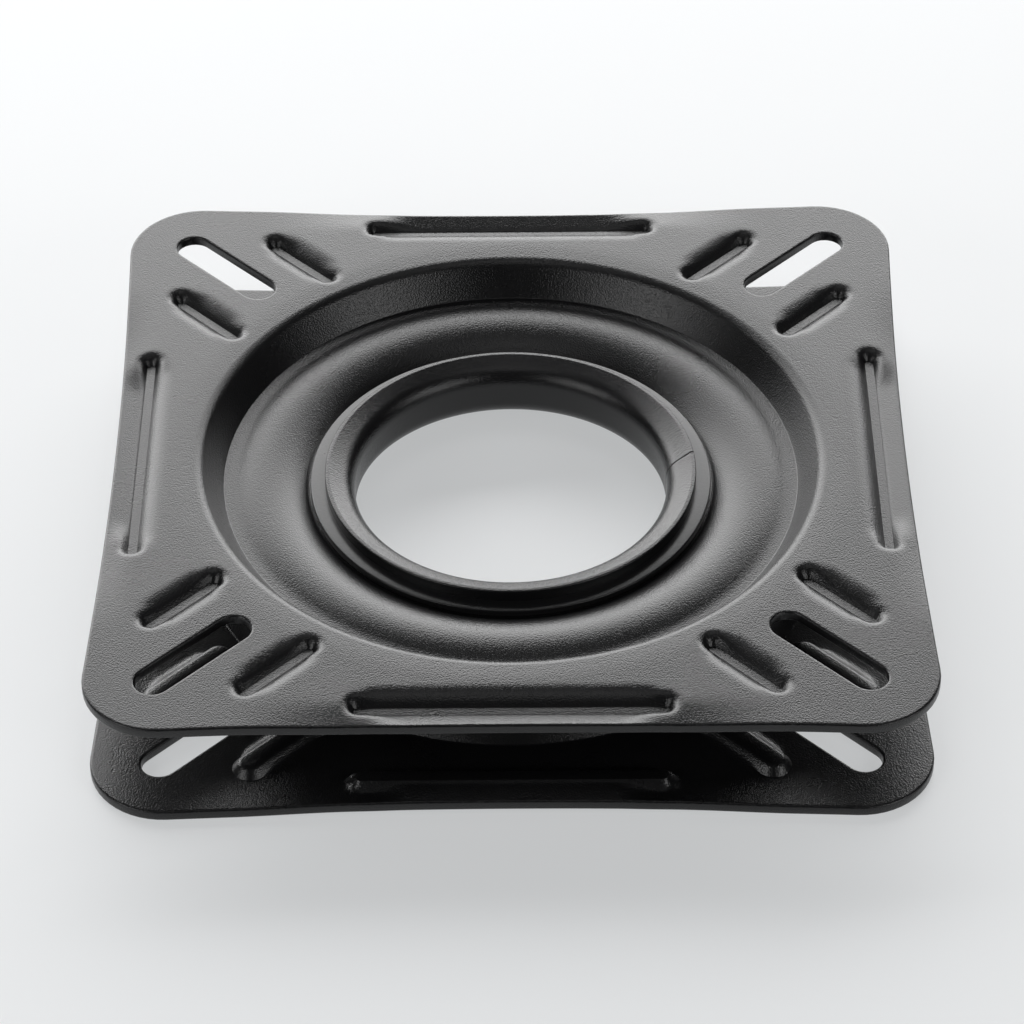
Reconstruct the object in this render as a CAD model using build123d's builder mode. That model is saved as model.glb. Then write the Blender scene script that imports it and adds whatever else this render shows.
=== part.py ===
"""Seat swivel: two pressed steel plates that turn on each other about a rolled centre eyelet.

The origin is at the bottom centre, +Z is up and lengths are in millimetres.
The lower half is the upper half turned over, so heights are worked out for the upper half.
"""
import os
from math import atan, cos, radians, sqrt, tan

from build123d import *

# Overall
overall_height = 26.4
plate_width = 180.0
sheet = 2.5

# Plate outline
corner_radius = 16.5
side_hollow = 1.9

# Bolt slots, one in each corner along the diagonal
slot_width = 7.9
slot_travel = 22.6
slot_edge = 15.0

# Pressed ribs: one along each side and a short one on both sides of each slot
rib_depth = 2.3
rib_floor = 2.2
rib_wall_angle = 36.0
side_rib_length = 66.0
side_rib_edge = 8.0
short_rib_length = 19.5
short_rib_offset = 15.0
short_rib_gap = 2.6

# Centre eyelet: a tube rolled over at both ends
eyelet_bore = 70.0
eyelet_wall = 2.7
eyelet_lip = 3.9
eyelet_mouth = 3.5

# Wear washers under the eyelet's lips
washer_width = 7.05
washer_thickness = 1.7
washer_gap = 0.15
washer_margin = 0.5
running_gap = 0.1

# Dish pressed into each plate, from the hub out to the flat
shaft_gap = 0.3
hub_gap = 1.0
bead_inner_run = 6.6
bead_crest = 5.0
bead_outer_run = 7.3
bead_height = 1.25
wall_run = 4.75
shoulder_run = 3.35
shoulder_drop = 1.67
dish_depth = 7.6

# Bearing ring in the track under the beads
bearing_width = 4.0
track_gap = 0.15

os.makedirs("parts", exist_ok=True)

# Heights of the upper plate's top surfaces
mid_height = overall_height / 2
hub_top = mid_height + hub_gap / 2 + sheet
floor_top = overall_height - dish_depth
bead_top = floor_top + bead_height
turned_over = Plane.XY.offset(mid_height)

# Radii, from the eyelet out
bore_radius = eyelet_bore / 2
tube_radius = bore_radius + eyelet_wall
lip_radius = tube_radius + eyelet_lip
hub_hole = tube_radius + shaft_gap
washer_hole = tube_radius + washer_gap
washer_radius = washer_hole + washer_width
hub_radius = washer_radius + washer_margin
bead_inner = hub_radius + bead_inner_run
bead_outer = bead_inner + bead_crest
wall_foot = bead_outer + bead_outer_run
wall_head = wall_foot + wall_run
dish_radius = wall_head + shoulder_run
dish_joint = dish_radius + sheet

# Outline of a plate: an arc hollows each side and runs into the round corners
corner_centre = plate_width / 2 - corner_radius
hollow_reach = corner_radius - side_hollow
hollow_radius = (corner_centre**2 + hollow_reach**2 - corner_radius**2) / (2 * side_hollow)
hollow_centre = plate_width / 2 - side_hollow + hollow_radius
blank_width = plate_width + corner_radius
slot_outer = sqrt(2) * (plate_width / 2 - slot_edge)

# Ribs: a groove in the top face over a ridge in the bottom face
groove_bottom = overall_height - rib_depth
ridge_bottom = groove_bottom - sheet
rib_run = rib_depth / tan(radians(rib_wall_angle))
ridge_growth = sheet * tan(radians(rib_wall_angle / 2))
side_rib_place = plate_width / 2 - side_rib_edge
short_rib_place = dish_radius + short_rib_gap + short_rib_length / 2


def pressed_bar(length, growth, bottom):
    """A bar along X with sloping walls and ends of half an octagon: where four strips meet."""
    straight = (length - rib_floor) / 2
    with BuildPart() as bar:
        with Locations((0, 0, bottom)):
            Box(plate_width, plate_width, rib_depth, align=(Align.CENTER, Align.CENTER, Align.MIN))
        for turn in (0, 45, 90, 135):
            reach = straight * abs(cos(radians(turn))) + rib_floor / 2 + growth + rib_run
            with BuildSketch(Plane.XZ.rotated((0, 0, turn)).offset(-plate_width / 2)):
                with Locations((0, bottom)):
                    Trapezoid(2 * reach, rib_depth, 180 - rib_wall_angle, align=(Align.CENTER, Align.MIN))
            extrude(amount=plate_width, mode=Mode.INTERSECT)
    return bar.part


side_ridge = pressed_bar(side_rib_length, ridge_growth, ridge_bottom)
side_groove = pressed_bar(side_rib_length, 0, groove_bottom)
short_ridge = pressed_bar(short_rib_length, ridge_growth, ridge_bottom)
short_groove = pressed_bar(short_rib_length, 0, groove_bottom)

# Upper plate
with BuildPart() as upper_plate:
    with BuildSketch(Plane.XY.offset(overall_height - sheet)) as blank:
        Rectangle(blank_width, blank_width)
        with PolarLocations(hollow_centre, 4):
            Circle(hollow_radius, mode=Mode.SUBTRACT)
        fillet(blank.vertices(), corner_radius)
        Circle(dish_joint, mode=Mode.SUBTRACT)
    extrude(amount=sheet)
    with BuildSketch(Plane.XZ) as dish:
        with BuildLine():
            Polyline(
                (dish_joint, overall_height),
                (dish_radius, overall_height),
                (wall_head, overall_height - shoulder_drop),
                (wall_foot, floor_top),
                (bead_outer, bead_top),
                (bead_inner, bead_top),
                (hub_radius, hub_top),
                (hub_hole, hub_top),
            )
            offset(amount=sheet, side=Side.LEFT, kind=Kind.INTERSECTION)
        make_face()
    revolve(axis=Axis.Z)
    with PolarLocations(side_rib_place, 4):
        add(side_ridge, rotation=(0, 0, 90))
        add(side_groove, rotation=(0, 0, 90), mode=Mode.SUBTRACT)
    with PolarLocations(short_rib_place, 4, start_angle=45):
        with Locations((0, short_rib_offset), (0, -short_rib_offset)):
            add(short_ridge)
            add(short_groove, mode=Mode.SUBTRACT)
    with BuildSketch(Plane.XY.offset(overall_height)):
        with PolarLocations(slot_outer - slot_travel / 2, 4, start_angle=45):
            SlotCenterToCenter(slot_travel, slot_width)
    extrude(amount=-sheet, mode=Mode.SUBTRACT)
upper_plate.part.label = "upper_plate"
export_step(upper_plate.part, "parts/upper_plate.step")

# Lower plate: the same pressing turned over
with BuildPart() as lower_plate:
    mirror(upper_plate.part, about=turned_over)
lower_plate.part.label = "lower_plate"
export_step(lower_plate.part, "parts/lower_plate.step")

# Bearing ring: runs in the track between the two beads, up to the slopes outside their crests
track_depth = sheet + track_gap
outer_slope = bead_height / bead_outer_run
inner_slope = (bead_top - hub_top) / bead_inner_run
crown_outer = bead_outer - track_depth * tan(atan(outer_slope) / 2)
bearing_inner = bead_inner + track_depth * tan(atan(inner_slope) / 2)
bearing_outer = bearing_inner + bearing_width
bearing_top = bead_top - track_depth - max(bearing_outer - crown_outer, 0) * outer_slope
with BuildPart() as bearing_ring:
    with BuildSketch(turned_over):
        Circle(bearing_outer)
        Circle(bearing_inner, mode=Mode.SUBTRACT)
    extrude(amount=bearing_top - mid_height, both=True)
bearing_ring.part.label = "bearing_ring"
export_step(bearing_ring.part, "parts/bearing_ring.step")

# Wear washers on the two hubs
washer_seat = hub_top + running_gap
with BuildPart() as upper_wear_washer:
    with BuildSketch(Plane.XY.offset(washer_seat)):
        Circle(washer_radius)
        Circle(washer_hole, mode=Mode.SUBTRACT)
    extrude(amount=washer_thickness)
upper_wear_washer.part.label = "upper_wear_washer"
export_step(upper_wear_washer.part, "parts/upper_wear_washer.step")

with BuildPart() as lower_wear_washer:
    mirror(upper_wear_washer.part, about=turned_over)
lower_wear_washer.part.label = "lower_wear_washer"
export_step(lower_wear_washer.part, "parts/lower_wear_washer.step")

# Centre eyelet: clamps the stack between its lips
lip_seat = washer_seat + washer_thickness
lip_top = lip_seat + eyelet_wall
with BuildPart() as centre_eyelet:
    with BuildSketch(Plane.XZ):
        with BuildLine():
            Polyline(
                (bore_radius, mid_height),
                (bore_radius, lip_top - eyelet_mouth),
                (bore_radius + eyelet_mouth, lip_top),
                (lip_radius, lip_top),
                (lip_radius, lip_seat),
                (tube_radius, lip_seat),
                (tube_radius, mid_height),
            )
            mirror(about=Plane.XZ.offset(-mid_height))
        make_face()
    revolve(axis=Axis.Z)
centre_eyelet.part.label = "centre_eyelet"
export_step(centre_eyelet.part, "parts/centre_eyelet.step")
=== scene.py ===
import math

import bpy
import numpy as np
from mathutils import Matrix, Vector
from mathutils.geometry import delaunay_2d_cdt


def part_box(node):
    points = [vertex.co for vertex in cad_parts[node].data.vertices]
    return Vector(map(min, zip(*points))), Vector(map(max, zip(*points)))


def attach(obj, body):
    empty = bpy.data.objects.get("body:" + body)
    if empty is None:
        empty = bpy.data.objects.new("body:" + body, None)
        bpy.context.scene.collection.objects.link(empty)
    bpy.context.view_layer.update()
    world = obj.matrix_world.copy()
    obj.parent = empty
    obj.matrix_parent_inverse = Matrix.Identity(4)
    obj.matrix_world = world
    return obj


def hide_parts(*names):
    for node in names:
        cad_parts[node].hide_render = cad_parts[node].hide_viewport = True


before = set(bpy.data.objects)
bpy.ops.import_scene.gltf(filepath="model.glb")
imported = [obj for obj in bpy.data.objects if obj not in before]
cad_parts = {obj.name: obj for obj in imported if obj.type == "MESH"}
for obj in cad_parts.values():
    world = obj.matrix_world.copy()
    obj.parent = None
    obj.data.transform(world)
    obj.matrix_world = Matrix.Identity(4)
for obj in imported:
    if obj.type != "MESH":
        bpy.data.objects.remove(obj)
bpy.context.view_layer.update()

# Pressed plates: two like pressings of 2.5 mm steel sheet with a black powder coat, blanked to a square
# with hollow sides, dished in the middle and ribbed round the rim. They lie back to back, the lower one
# turned over, and their hubs are held between the lips of the centre eyelet.
mm = 0.001
plate_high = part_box("upper_plate")[1]
half_width = plate_high.x
top_height = plate_high.z
middle_height = (top_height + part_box("lower_plate")[0].z) / 2
sheet = 2.5 * mm
corner_radius = 16.5 * mm
side_hollow = 1.7 * mm
edge_round = 0.55 * mm

slot_half_width = 3.95 * mm
slot_ends = (59.0 * mm, 75.0 * mm)

# A profile lists its corners: the distance from the middle of the rib or dish, the depth under the
# plate's flat, and the radius that rounds the corner.
rib_depth = 2.3 * mm
rib_floor = 0.95 * mm
rib_reach = 7.0 * mm
rib_bottom = [(0.0, rib_depth, 0.0), (rib_floor, rib_depth, 0.12 * mm)]
rib_corners = rib_bottom + [
    (3.05 * mm, 0.0, 6.2 * mm),
    (rib_reach, 0.0, 0.0),
]
rib_end_corners = rib_bottom + [
    (2.7 * mm, 0.0, 2.2 * mm),
    (rib_reach, 0.0, 0.0),
]
outer_wall_corners = rib_bottom + [
    (1.25 * mm, 1.95 * mm, 0.3 * mm),
    (5.9 * mm, 0.0, 2.0 * mm),
    (rib_reach, 0.0, 0.0),
]
rib_end_fade = 4.0 * mm
outer_wall_fade = 10.0 * mm
edge_droop = 0.75 * mm
droop_width = 6.0 * mm
droop_fade = 28.0 * mm
side_rib_place = 82.4 * mm
side_rib_half = 31.9 * mm
short_rib_offset = 15.0 * mm
short_rib_ends = (75.6 * mm, 93.6 * mm)

dish_corners = [
    (38.0 * mm, 10.2 * mm, 0.0),
    (45.4 * mm, 10.2 * mm, 1.5 * mm),
    (52.8 * mm, 4.9 * mm, 16.5 * mm),
    (61.7 * mm, 7.6 * mm, 8.0 * mm),
    (64.3 * mm, 7.6 * mm, 0.35 * mm),
    (69.3 * mm, 0.25 * mm, 3.2 * mm),
    (74.5 * mm, 0.0, 25.0 * mm),
    (77.0 * mm, 0.0, 0.0),
]
dish_edge = 71.2 * mm


def rounded_profile(corners, arc_steps=10, run_step=1.2 * mm):
    """Points along a line through the corners, with each corner rounded to its radius."""
    points = [Vector(corners[0][:2])]
    for before, corner, after in zip(corners, corners[1:], corners[2:]):
        here, radius = Vector(corner[:2]), corner[2]
        back = (Vector(before[:2]) - here).normalized()
        ahead = (Vector(after[:2]) - here).normalized()
        half = back.angle(ahead) / 2
        setback = radius / math.tan(half)
        middle = here + (back + ahead).normalized() * radius / math.sin(half)
        start, end = here + back * setback, here + ahead * setback
        for i in range(arc_steps + 1):
            along = start.lerp(end, i / arc_steps)
            points.append(middle + (along - middle).normalized() * radius)
    points.append(Vector(corners[-1][:2]))
    filled = [points[0]]
    for point in points[1:]:
        first = filled[-1]
        steps = max(1, math.ceil((point - first).length / run_step))
        filled += [first.lerp(point, i / steps) for i in range(1, steps + 1)]
    return np.array([tuple(p) for p in filled])


dish_line = rounded_profile(dish_corners)
rib_line = rounded_profile(rib_corners, arc_steps=6)
rib_end_line = rounded_profile(rib_end_corners, arc_steps=6)
outer_wall_line = rounded_profile(outer_wall_corners, arc_steps=6)


def turned(points, angle):
    """Flat points turned about the middle axis."""
    c, s = math.cos(angle), math.sin(angle)
    return np.asarray(points) @ np.array([[c, s], [-s, c]])


eighth_turn = math.pi / 4
quarter_turns = np.arange(4) * math.pi / 2
side_rib = [(side_rib_place, -side_rib_half), (side_rib_place, side_rib_half)]
side_ribs = [turned(side_rib, turn) for turn in quarter_turns]
short_ribs = [turned([(end, side * short_rib_offset) for end in short_rib_ends], turn + eighth_turn)
              for turn in quarter_turns for side in (1, -1)]


def distance_to(line, x, y):
    """How far points lie from a rib's middle line, and how far past its ends."""
    start, end = line
    half = (end - start) / 2
    length = np.linalg.norm(half)
    along_x, along_y = half / length
    from_x, from_y = x - (start[0] + end[0]) / 2, y - (start[1] + end[1]) / 2
    past = np.abs(from_x * along_x + from_y * along_y) - length
    return np.hypot(from_y * along_x - from_x * along_y, np.clip(past, 0, None)), past


def eased(share):
    """A share of 0 to 1 that starts and ends softly."""
    share = np.clip(share, 0, 1)
    return share**2 * (3 - 2 * share)


def rib_depth_at(away, past, long_line, fade):
    """Depth of a rib's wall, which turns into the steeper end wall over the fade before the end."""
    wall = np.interp(away, long_line[:, 0], long_line[:, 1])
    end_wall = np.interp(away, rib_end_line[:, 0], rib_end_line[:, 1])
    return wall + eased(past / fade + 1) * (end_wall - wall)


def pressing_depth(x, y):
    """Depth of the pressed top surface under the plate's flat: a side rib draws the plate's edge down."""
    depth = np.interp(np.hypot(x, y), dish_line[:, 0], dish_line[:, 1])
    for line in short_ribs:
        depth = depth + rib_depth_at(*distance_to(line, x, y), rib_line, rib_end_fade)
    for line in side_ribs:
        away, past = distance_to(line, x, y)
        out_x, out_y = (line[0] + line[1]) / 2 / side_rib_place
        outward = x * out_x + y * out_y - side_rib_place
        inner = rib_depth_at(away, past, rib_line, rib_end_fade)
        outer = rib_depth_at(away, past, outer_wall_line, outer_wall_fade)
        droop = edge_droop * np.clip(outward / droop_width, 0, None) * eased(1 - past / droop_fade)
        depth = depth + np.where(outward > 0, outer, inner) + droop
    return depth


def pressing_normal(x, y):
    """Upward normal of the pressed top surface."""
    step = 0.15 * mm
    slope_x = (pressing_depth(x + step, y) - pressing_depth(x - step, y)) / (2 * step)
    slope_y = (pressing_depth(x, y + step) - pressing_depth(x, y - step)) / (2 * step)
    normal = np.stack([slope_x, slope_y, np.ones_like(x)], 1)
    return normal / np.linalg.norm(normal, axis=1)[:, None]


def arc(centre, radius, start, end, steps):
    """Points on an arc with their outward directions."""
    angles = np.linspace(start, end, steps, endpoint=False)
    outward = np.stack([np.cos(angles), np.sin(angles)], 1)
    return np.array(centre) + radius * outward, outward


def outline_loop(corner_steps=14, side_steps=72):
    """The plate's outline and its outward directions, counter-clockwise."""
    corner = half_width - corner_radius
    reach = corner_radius - side_hollow
    hollow = (corner**2 + reach**2 - corner_radius**2) / (2 * side_hollow)
    hollow_centre = half_width - side_hollow + hollow
    lean = math.atan2(corner, hollow_centre - corner)
    points, outward = [], []
    for turn in quarter_turns:
        for centre, radius, start, end, steps, sense in (
            ((hollow_centre, 0), hollow, math.pi + lean, math.pi - lean, side_steps, -1),
            ((corner, corner), corner_radius, -lean, math.pi / 2 + lean, corner_steps, 1),
        ):
            at, out = arc(centre, radius, start, end, steps)
            points.append(turned(at, turn))
            outward.append(sense * turned(out, turn))
    return np.vstack(points), np.vstack(outward)


def slot_loop(turn, end_steps=16, side_steps=16):
    """A bolt slot's outline and its directions into the sheet, counter-clockwise."""
    near, far = [e * math.sqrt(2) for e in slot_ends]
    points, outward = [], []
    for middle, start, run_from, run_to in (
        (far, -math.pi / 2, (far, slot_half_width), (near, slot_half_width)),
        (near, math.pi / 2, (near, -slot_half_width), (far, -slot_half_width)),
    ):
        at, out = arc((middle, 0), slot_half_width, start, start + math.pi, end_steps)
        run = np.linspace(run_from, run_to, side_steps, endpoint=False)
        points += [at, run]
        outward += [out, np.tile([0, np.sign(run_from[1])], (side_steps, 1))]
    return turned(np.vstack(points), turn), turned(np.vstack(outward), turn)


def rib_loop(line, distance, end_steps=10, run_step=1.4 * mm):
    """A line round a rib at one distance from its middle line."""
    start, end = line
    length = np.linalg.norm(end - start)
    along = (end - start) / length
    heading = math.atan2(along[1], along[0])
    across = np.array([-along[1], along[0]])
    runs = max(2, int(length / run_step))
    far, _ = arc(end, distance, heading - math.pi / 2, heading + math.pi / 2, end_steps)
    near, _ = arc(start, distance, heading + math.pi / 2, heading + 1.5 * math.pi, end_steps)
    back = np.linspace(end + across * distance, start + across * distance, runs, endpoint=False)
    out = np.linspace(start - across * distance, end - across * distance, runs, endpoint=False)
    return np.vstack([far, back, near, out])


def inside(loop, points):
    """Which points lie inside a closed loop."""
    x, y = points[:, 0], points[:, 1]
    result = np.zeros(len(points), bool)
    for (ax, ay), (bx, by) in zip(loop, np.roll(loop, -1, axis=0)):
        crosses = (ay > y) != (by > y)
        reach = ax + (y - ay) * (bx - ax) / (by - ay if by != ay else 1.0)
        result ^= crosses & (x < reach)
    return result


def around(count):
    """Each place in a closed loop, with the place after it."""
    return [(i, (i + 1) % count) for i in range(count)]


def staggered_grid(pitch=2.6 * mm):
    """Points over the whole plate, every second row shifted by half a step."""
    row_pitch = 0.866 * pitch
    rows = np.arange(-half_width, half_width, row_pitch)
    columns = np.arange(-half_width, half_width, pitch)
    return np.array([(x + (i % 2) * pitch / 2, y) for i, y in enumerate(rows) for x in columns])


def rim_mesh(dish_ring):
    """Flat points and triangles of the rim, and the loops along its edges with their directions."""
    ribs = side_ribs + short_ribs
    outline, outward = outline_loop()
    slots = [slot_loop(turn + eighth_turn) for turn in quarter_turns]
    boundaries = [outline - edge_round * outward]
    boundaries += [at + edge_round * out for at, out in slots]
    boundaries.append(dish_ring)
    points, edges, count = [], [], 0

    def put(loop, keep=None):
        """Adds a loop's points, and the edges between those that are kept."""
        nonlocal count
        chosen = np.ones(len(loop), bool) if keep is None else keep
        index = np.cumsum(chosen) - 1 + count
        pairs = [(i, j) for i, j in around(len(loop)) if chosen[i] and chosen[j]]
        edges.extend((int(index[i]), int(index[j])) for i, j in pairs)
        points.append(loop[chosen])
        count += int(chosen.sum())

    for loop in boundaries:
        put(loop)
    edge_land = 0.25 * mm
    inset = edge_round + edge_land
    put(outline - inset * outward)
    for at, out in slots:
        put(at + inset * out)
    margin = 0.9 * mm
    room = outline - (edge_round + margin) * outward
    clear = dish_edge + margin
    for line in ribs:
        put(line, np.hypot(*line.T) > clear)
        for distance in rib_line[1:, 0]:
            loop = rib_loop(line, distance)
            put(loop, inside(room, loop) & (np.hypot(*loop.T) > clear))
    grid = staggered_grid()
    keep = inside(room, grid) & (np.hypot(*grid.T) > clear)
    for line in ribs:
        keep &= distance_to(line, *grid.T)[0] > rib_reach + margin
    for at, out in slots:
        keep &= ~inside(at + (edge_round + margin) * out, grid)
    points.append(grid[keep])

    flat = [Vector(p) for p in np.vstack(points) / mm]
    all_triangles = 0
    merge_distance = 1e-6
    met, _, faces, origin, _, _ = delaunay_2d_cdt(flat, edges, [], all_triangles, merge_distance)
    at = np.array([tuple(p) for p in met]) * mm
    centres = np.array([at[list(f)].mean(0) for f in faces])
    keep = inside(boundaries[0], centres)
    for hole in boundaries[1:]:
        keep &= ~inside(hole, centres)
    triangles = [tuple(f) for f, kept in zip(faces, keep) if kept]
    place = {source: i for i, sources in enumerate(origin) for source in sources}
    loops, start = [], 0
    for loop in boundaries:
        loops.append([place[start + i] for i in range(len(loop))])
        start += len(loop)
    return at, triangles, loops, [outward] + [out for _, out in slots]


def pressed_plate(spokes=288):
    """Points and faces of the upper plate: its top, its underside and its rounded cut edges."""
    angles = np.arange(spokes) * 2 * math.pi / spokes
    ring = np.stack([np.cos(angles), np.sin(angles)], 1)
    rim, faces, loops, outward = rim_mesh(ring * dish_edge)
    ring_gap = 0.2 * mm
    dish = [ring * radius for radius in dish_line[:, 0] if radius < dish_edge - ring_gap]
    flat = np.vstack([rim, *dish])
    rings = [[len(rim) + k * spokes + i for i in range(spokes)] for k in range(len(dish))]
    rings.append(loops[-1])
    for inner, outer in zip(rings, rings[1:]):
        faces += [(inner[i], outer[i], outer[j], inner[j]) for i, j in around(spokes)]

    # The underside lies one sheet thickness from the top, and straight below it outside the side ribs.
    x, y = flat.T
    top = np.stack([x, y, top_height - pressing_depth(x, y)], 1)
    lean = (np.maximum(np.abs(x), np.abs(y)) < side_rib_place)[:, None]
    under = top - sheet * np.where(lean, pressing_normal(x, y), (0, 0, 1))
    count = len(flat)
    points = [top, under]
    faces += [tuple(i + count for i in reversed(f)) for f in faces]

    # The cut edge bulges outward at the outline, and into the opening at each slot.
    total = 2 * count
    edge_angles = [math.radians(a) for a in (22.5, 45, 67.5, 90)]
    senses = [1] + [-1] * len(quarter_turns)
    for loop, out, sense in zip(loops[:-1], outward, senses):
        levels = [loop]
        steps = [(top[loop], -1, a) for a in edge_angles]
        steps += [(under[loop], 1, a) for a in reversed(edge_angles)]
        for base, drop, angle in steps:
            level = base.copy()
            level[:, :2] += sense * out * edge_round * math.sin(angle)
            level[:, 2] += drop * edge_round * (1 - math.cos(angle))
            points.append(level)
            levels.append(list(range(total, total + len(loop))))
            total += len(loop)
        levels.append([i + count for i in loop])
        for high, low in zip(levels, levels[1:]):
            band = [(high[i], low[i], low[j], high[j]) for i, j in around(len(loop))]
            faces += band if sense > 0 else [face[::-1] for face in band]
    hub = rings[0]
    faces += [(hub[i], hub[j], hub[j] + count, hub[i] + count) for i, j in around(spokes)]
    return np.vstack(points), faces


def mesh_piece(name, points, faces):
    """A smooth-shaded mesh object that keeps its sharp edges."""
    sharp_angle = math.radians(40)
    mesh = bpy.data.meshes.new(name)
    mesh.from_pydata([tuple(p) for p in points], [], faces)
    mesh.validate()
    mesh.shade_smooth()
    mesh.set_sharp_from_angle(angle=sharp_angle)
    piece = bpy.data.objects.new(name, mesh)
    bpy.context.scene.collection.objects.link(piece)
    return piece


plate_points, plate_faces = pressed_plate()
upper_pressing = mesh_piece("upper_pressing", plate_points, plate_faces)
turned_points = plate_points * (1, 1, -1) + (0, 0, 2 * middle_height)
lower_pressing = mesh_piece("lower_pressing", turned_points, [f[::-1] for f in plate_faces])


def grain_group():
    """Shared effect: the fine leather-like grain of a textured coat or moulding."""
    group = bpy.data.node_groups.new("fine_grain", "ShaderNodeTree")
    for socket, way in (("Cell Size", "INPUT"), ("Height", "OUTPUT"), ("Mottle", "OUTPUT")):
        group.interface.new_socket(socket, in_out=way, socket_type="NodeSocketFloat")
    nodes, links = group.nodes, group.links
    given = nodes.new("NodeGroupInput")
    result = nodes.new("NodeGroupOutput")
    place = nodes.new("ShaderNodeTexCoord")
    scale = nodes.new("ShaderNodeMath")
    scale.operation = "DIVIDE"
    scale.inputs[0].default_value = 1.0
    links.new(given.outputs["Cell Size"], scale.inputs[1])
    cells = nodes.new("ShaderNodeTexVoronoi")
    cloud = nodes.new("ShaderNodeTexNoise")
    cloud.inputs["Detail"].default_value = 3.0
    for texture in (cells, cloud):
        links.new(place.outputs["Object"], texture.inputs["Vector"])
        links.new(scale.outputs["Value"], texture.inputs["Scale"])
    height = nodes.new("ShaderNodeMath")
    height.operation = "SUBTRACT"
    links.new(cloud.outputs["Fac"], height.inputs[0])
    links.new(cells.outputs["Distance"], height.inputs[1])
    links.new(height.outputs["Value"], result.inputs["Height"])
    broad = nodes.new("ShaderNodeTexNoise")
    broad.inputs["Scale"].default_value = 40.0
    broad.inputs["Detail"].default_value = 4.0
    links.new(place.outputs["Object"], broad.inputs["Vector"])
    links.new(broad.outputs["Fac"], result.inputs["Mottle"])
    return group


fine_grain = grain_group()


def coat(name, colour, roughness, roughness_change, cell_size, bump_height, bump_strength):
    """A dark grained finish: colour and roughness vary a little, and the grain is a bump."""
    darkest, lightest = 0.8, 1.25
    material = bpy.data.materials.new(name)
    material.use_nodes = True
    nodes, links = material.node_tree.nodes, material.node_tree.links
    shader = nodes["Principled BSDF"]
    grain = nodes.new("ShaderNodeGroup")
    grain.node_tree = fine_grain
    grain.inputs["Cell Size"].default_value = cell_size
    tint = nodes.new("ShaderNodeMix")
    tint.data_type = "RGBA"
    tint.inputs["A"].default_value = (*[c * darkest for c in colour], 1)
    tint.inputs["B"].default_value = (*[c * lightest for c in colour], 1)
    links.new(grain.outputs["Mottle"], tint.inputs["Factor"])
    links.new(tint.outputs["Result"], shader.inputs["Base Color"])
    gloss = nodes.new("ShaderNodeMapRange")
    gloss.inputs["To Min"].default_value = roughness - roughness_change
    gloss.inputs["To Max"].default_value = roughness + roughness_change
    links.new(grain.outputs["Mottle"], gloss.inputs["Value"])
    links.new(gloss.outputs["Result"], shader.inputs["Roughness"])
    bump = nodes.new("ShaderNodeBump")
    bump.inputs["Strength"].default_value = bump_strength
    bump.inputs["Distance"].default_value = bump_height
    links.new(grain.outputs["Height"], bump.inputs["Height"])
    links.new(bump.outputs["Normal"], shader.inputs["Normal"])
    return material


powder_black = (0.006, 0.006, 0.0065)
plate_coat = coat("plate_coat", powder_black, roughness=0.28, roughness_change=0.03,
                  cell_size=0.36 * mm, bump_height=0.06 * mm, bump_strength=0.8)
for piece, body, node in (
    (lower_pressing, "base", "lower_plate"),
    (upper_pressing, "turntable", "upper_plate"),
):
    piece.data.materials.append(plate_coat)
    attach(piece, body)
    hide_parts(node)

# Bearing ring: a ring moulded in dark plastic, with rounded edges. It lies loose in the track that
# the two beads make between the plates, and carries the load.
ring_hole = 52.72 * mm
ring_round = 1.2 * mm
ring_play = 0.2 * mm
ring_spokes = 256
bearing_grey = (0.03, 0.03, 0.032)


def ring_row(radius, height, angles):
    """Points of a ring round the middle axis."""
    return [(radius * math.cos(a), radius * math.sin(a), height) for a in angles]


def turned_piece(name, rows):
    """A ring with the rows of points as its lines round the middle axis."""
    spokes = len(rows[0])
    faces = []
    for k, n in around(len(rows)):
        here, following = k * spokes, n * spokes
        faces += [(here + i, here + j, following + j, following + i) for i, j in around(spokes)]
    return mesh_piece(name, [p for row in rows for p in row], faces)


def flat_ring(name, node, hole, edge, play):
    """A flat ring in the place of a CAD ring, with rounded edges and a little play above and below."""
    low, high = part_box(node)
    bottom, top = low.z + play, high.z - play
    corners = [(hole, bottom), (high.x, bottom), (high.x, top), (hole, top)]
    corner_steps = 4
    angles = np.arange(ring_spokes) * 2 * math.pi / ring_spokes
    rows = []
    for k, (r, z) in enumerate(corners):
        middle_r = r + edge * (1 if r == hole else -1)
        middle_z = z + edge * (1 if z == bottom else -1)
        for i in range(corner_steps + 1):
            a = math.radians(180 + 90 * (k + i / corner_steps))
            rows.append(ring_row(middle_r + edge * math.cos(a), middle_z + edge * math.sin(a), angles))
    ring = turned_piece(name, rows)
    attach(ring, "base")
    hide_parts(node)
    return ring


bearing = flat_ring("track_ring", "bearing_ring", ring_hole, ring_round, ring_play)
bearing_plastic = coat("bearing_plastic", bearing_grey, roughness=0.38, roughness_change=0.06,
                       cell_size=0.6 * mm, bump_height=0.05 * mm, bump_strength=0.15)
bearing.data.materials.append(bearing_plastic)

# Wear washers: flat rings of black plastic with rounded edges, one between each hub and the eyelet's
# lip, so that the upper hub turns on plastic and not on the steel lip.
washer_hole = 37.85 * mm
washer_round = 0.3 * mm
washer_play = 0.0
washer_black = (0.008, 0.008, 0.0085)
washer_plastic = coat("washer_plastic", washer_black, roughness=0.28, roughness_change=0.03,
                      cell_size=0.7 * mm, bump_height=0.06 * mm, bump_strength=0.15)
for name, node in (
    ("lower_washer_ring", "lower_wear_washer"),
    ("upper_washer_ring", "upper_wear_washer"),
):
    washer = flat_ring(name, node, washer_hole, washer_round, washer_play)
    washer.data.materials.append(washer_plastic)

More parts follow.
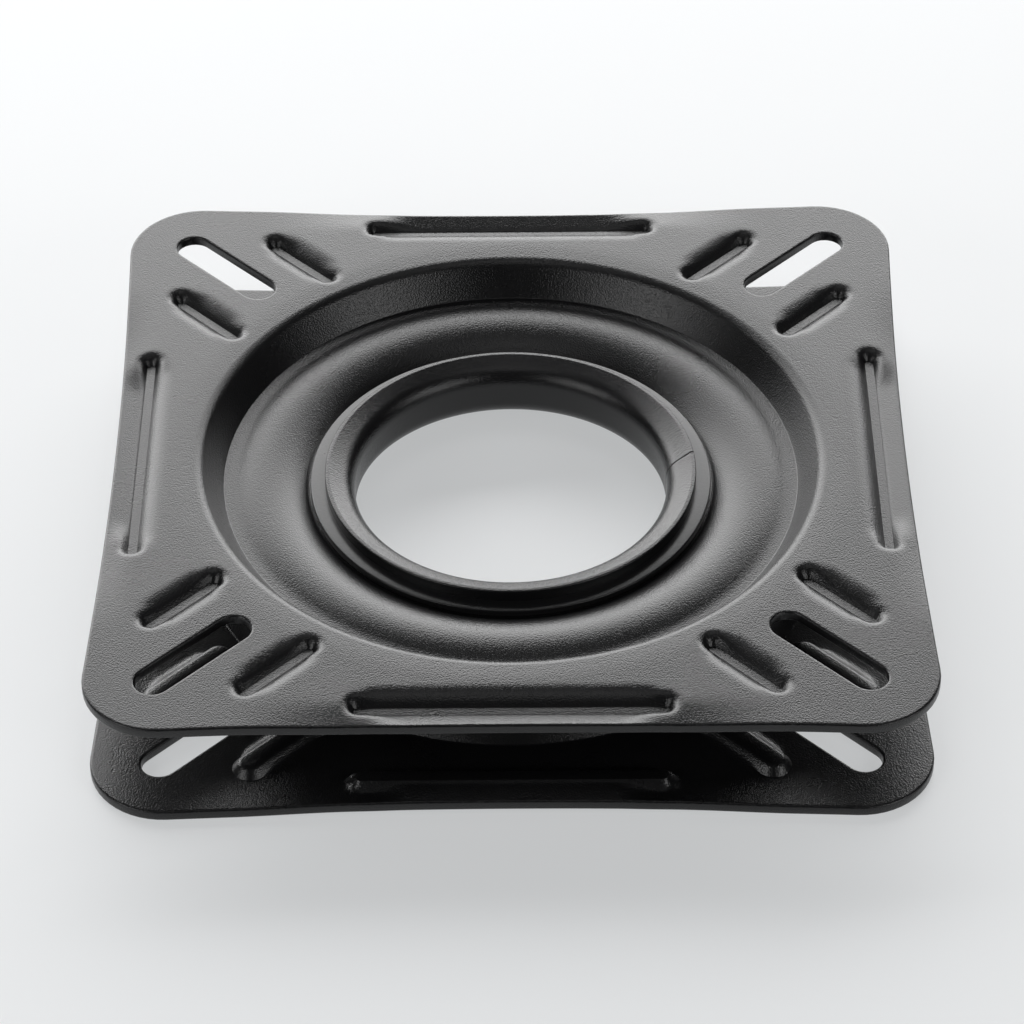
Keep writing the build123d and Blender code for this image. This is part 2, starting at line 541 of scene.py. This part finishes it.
# Centre eyelet: a short steel tube rolled over at both ends to clamp the stack, with the same black
# coat as the plates, a little glossier. A fine seam shows across its lip where the tube was joined.
eyelet_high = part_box("centre_eyelet")[1]
bore = 35.0 * mm
tube = 37.7 * mm
lip = eyelet_high.x
lip_thickness = 2.7 * mm
lip_edge = 0.35 * mm
lip_land = 0.6 * mm
land_round = 0.12 * mm
mouth_drop = 2.1 * mm
mouth_round = 4.5 * mm
seam_half_width = 0.2 * mm
seam_depth = 0.5 * mm
seam_at_bore = math.radians(3.6)
seam_at_lip = math.radians(7.3)


def eyelet_half(edge_steps=6):
    """Upper half of the eyelet's section, from the bore at mid-height round to the tube."""
    top = eyelet_high.z
    under_lip = top - lip_thickness
    cone = [
        (bore, middle_height, 0.0),
        (bore, top - mouth_drop, mouth_round),
        (lip - lip_edge - lip_land, top, land_round),
        (lip - lip_edge, top, 0.0),
    ]
    line = [tuple(p) for p in rounded_profile(cone, run_step=3 * mm)]
    for i in range(1, edge_steps + 1):
        a = math.radians(90 * i / edge_steps)
        line.append((lip - lip_edge * (1 - math.sin(a)), top - lip_edge * (1 - math.cos(a))))
    return line + [(lip, under_lip), (tube, under_lip), (tube, middle_height)]


def seamed_row(before, here, after):
    """A ring of the eyelet with a narrow groove at the seam, cut square to the section."""
    radius, height = here
    angle = seam_half_width / radius
    share = (radius - bore) / (lip - bore)
    start = seam_at_bore + share * (seam_at_lip - seam_at_bore)
    row = ring_row(radius, height, start + np.linspace(angle, 2 * math.pi - angle, ring_spokes))
    along = Vector(after) - Vector(before)
    into = Vector((along.y, -along.x)).normalized() * seam_depth
    return ring_row(radius + into.x, height + into.y, [start]) + row


upper_half = eyelet_half()
lower_half = [(r, 2 * middle_height - z) for r, z in upper_half[-2:0:-1]]
section = upper_half + lower_half
neighbours = zip(section[-1:] + section, section, section[1:] + section[:1])
eyelet_rows = [seamed_row(before, here, after) for before, here, after in neighbours]
eyelet = turned_piece("rolled_eyelet", eyelet_rows[::-1])
eyelet_coat = coat("eyelet_coat", powder_black, roughness=0.26, roughness_change=0.03,
                   cell_size=0.36 * mm, bump_height=0.06 * mm, bump_strength=0.8)
eyelet.data.materials.append(eyelet_coat)
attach(eyelet, "base")
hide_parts("centre_eyelet")

# Studio: a pale painted floor that glows only where it is seen or mirrored, and soft rectangular lamps:
# a wide one behind, a weak one above and one on each side in front. The camera stands where the photo
# was taken from, and is aimed at the middle of the plate's top.
floor_reach = 4.0
floor_colour = (0.38, 0.383, 0.388, 1)
floor_roughness = 0.6
glow_colour = (0.97, 0.99, 1.0, 1)
glow_strength = 0.45
room_colour = (0.03, 0.03, 0.031, 1)

floor_mesh = bpy.data.meshes.new("studio_floor")
floor_corners = [(x * floor_reach, y * floor_reach, 0) for x, y in ((-1, -1), (1, -1), (1, 1), (-1, 1))]
floor_mesh.from_pydata(floor_corners, [], [(0, 1, 2, 3)])
floor = bpy.data.objects.new("studio_floor", floor_mesh)
bpy.context.scene.collection.objects.link(floor)
floor_paint = bpy.data.materials.new("floor_paint")
floor_paint.use_nodes = True
nodes, links = floor_paint.node_tree.nodes, floor_paint.node_tree.links
shader = nodes["Principled BSDF"]
shader.inputs["Base Color"].default_value = floor_colour
shader.inputs["Roughness"].default_value = floor_roughness
shader.inputs["Emission Color"].default_value = glow_colour
path = nodes.new("ShaderNodeLightPath")
seen = path.outputs["Is Camera Ray"]
for ray in ("Is Glossy Ray", "Is Transmission Ray"):
    either = nodes.new("ShaderNodeMath")
    either.operation = "MAXIMUM"
    links.new(seen, either.inputs[0])
    links.new(path.outputs[ray], either.inputs[1])
    seen = either.outputs["Value"]
glow = nodes.new("ShaderNodeMath")
glow.operation = "MULTIPLY"
glow.inputs[1].default_value = glow_strength
links.new(seen, glow.inputs[0])
links.new(glow.outputs["Value"], shader.inputs["Emission Strength"])
floor_mesh.materials.append(floor_paint)

world = bpy.data.worlds.new("studio_room")
world.use_nodes = True
world.node_tree.nodes["Background"].inputs["Color"].default_value = room_colour
bpy.context.scene.world = world


def soft_light(name, place, width, height, power):
    """A rectangular lamp that faces the object."""
    lamp = bpy.data.lights.new(name, "AREA")
    lamp.shape = "RECTANGLE"
    lamp.size = width
    lamp.size_y = height
    lamp.energy = power
    light = bpy.data.objects.new(name, lamp)
    light.location = place
    light.rotation_euler = (-Vector(place)).to_track_quat("-Z", "Y").to_euler()
    bpy.context.scene.collection.objects.link(light)


soft_light("back_light", place=(-0.3, 1.5, 0.68), width=3.3, height=1.45, power=75)
soft_light("top_light", place=(0, -0.2, 1.7), width=1.0, height=0.8, power=2)
soft_light("front_left_light", place=(-1.2, -0.95, 0.72), width=1.0, height=0.6, power=6)
soft_light("front_right_light", place=(1.2, -0.95, 0.72), width=1.0, height=0.6, power=6)

camera_turn = math.radians(0.227)
camera_rise = math.radians(39.939)
camera_roll = math.radians(-0.55)
camera_distance = 0.9008
image_size = 1024
focal_pixels = 4034.8
centre_pixel = (510.35, 447.86)
back = Vector((
    math.sin(camera_turn) * math.cos(camera_rise),
    -math.cos(camera_turn) * math.cos(camera_rise),
    math.sin(camera_rise),
))
level = (-back).cross(Vector((0, 0, 1))).normalized()
upright = level.cross(-back)
across = level * math.cos(camera_roll) + upright * math.sin(camera_roll)
upward = upright * math.cos(camera_roll) - level * math.sin(camera_roll)
stand = Matrix.Translation(back * camera_distance + Vector((0, 0, top_height)))
aim = Matrix((across, upward, back)).transposed().to_4x4()
lens = bpy.data.cameras.new("camera")
lens.sensor_width = 36.0
lens.lens = focal_pixels / image_size * lens.sensor_width
lens.shift_x = (image_size / 2 - centre_pixel[0]) / image_size
lens.shift_y = (centre_pixel[1] - image_size / 2) / image_size
camera = bpy.data.objects.new("camera", lens)
camera.matrix_world = stand @ aim
bpy.context.scene.collection.objects.link(camera)
bpy.context.scene.camera = camera
bpy.context.scene.view_settings.view_transform = "Standard"
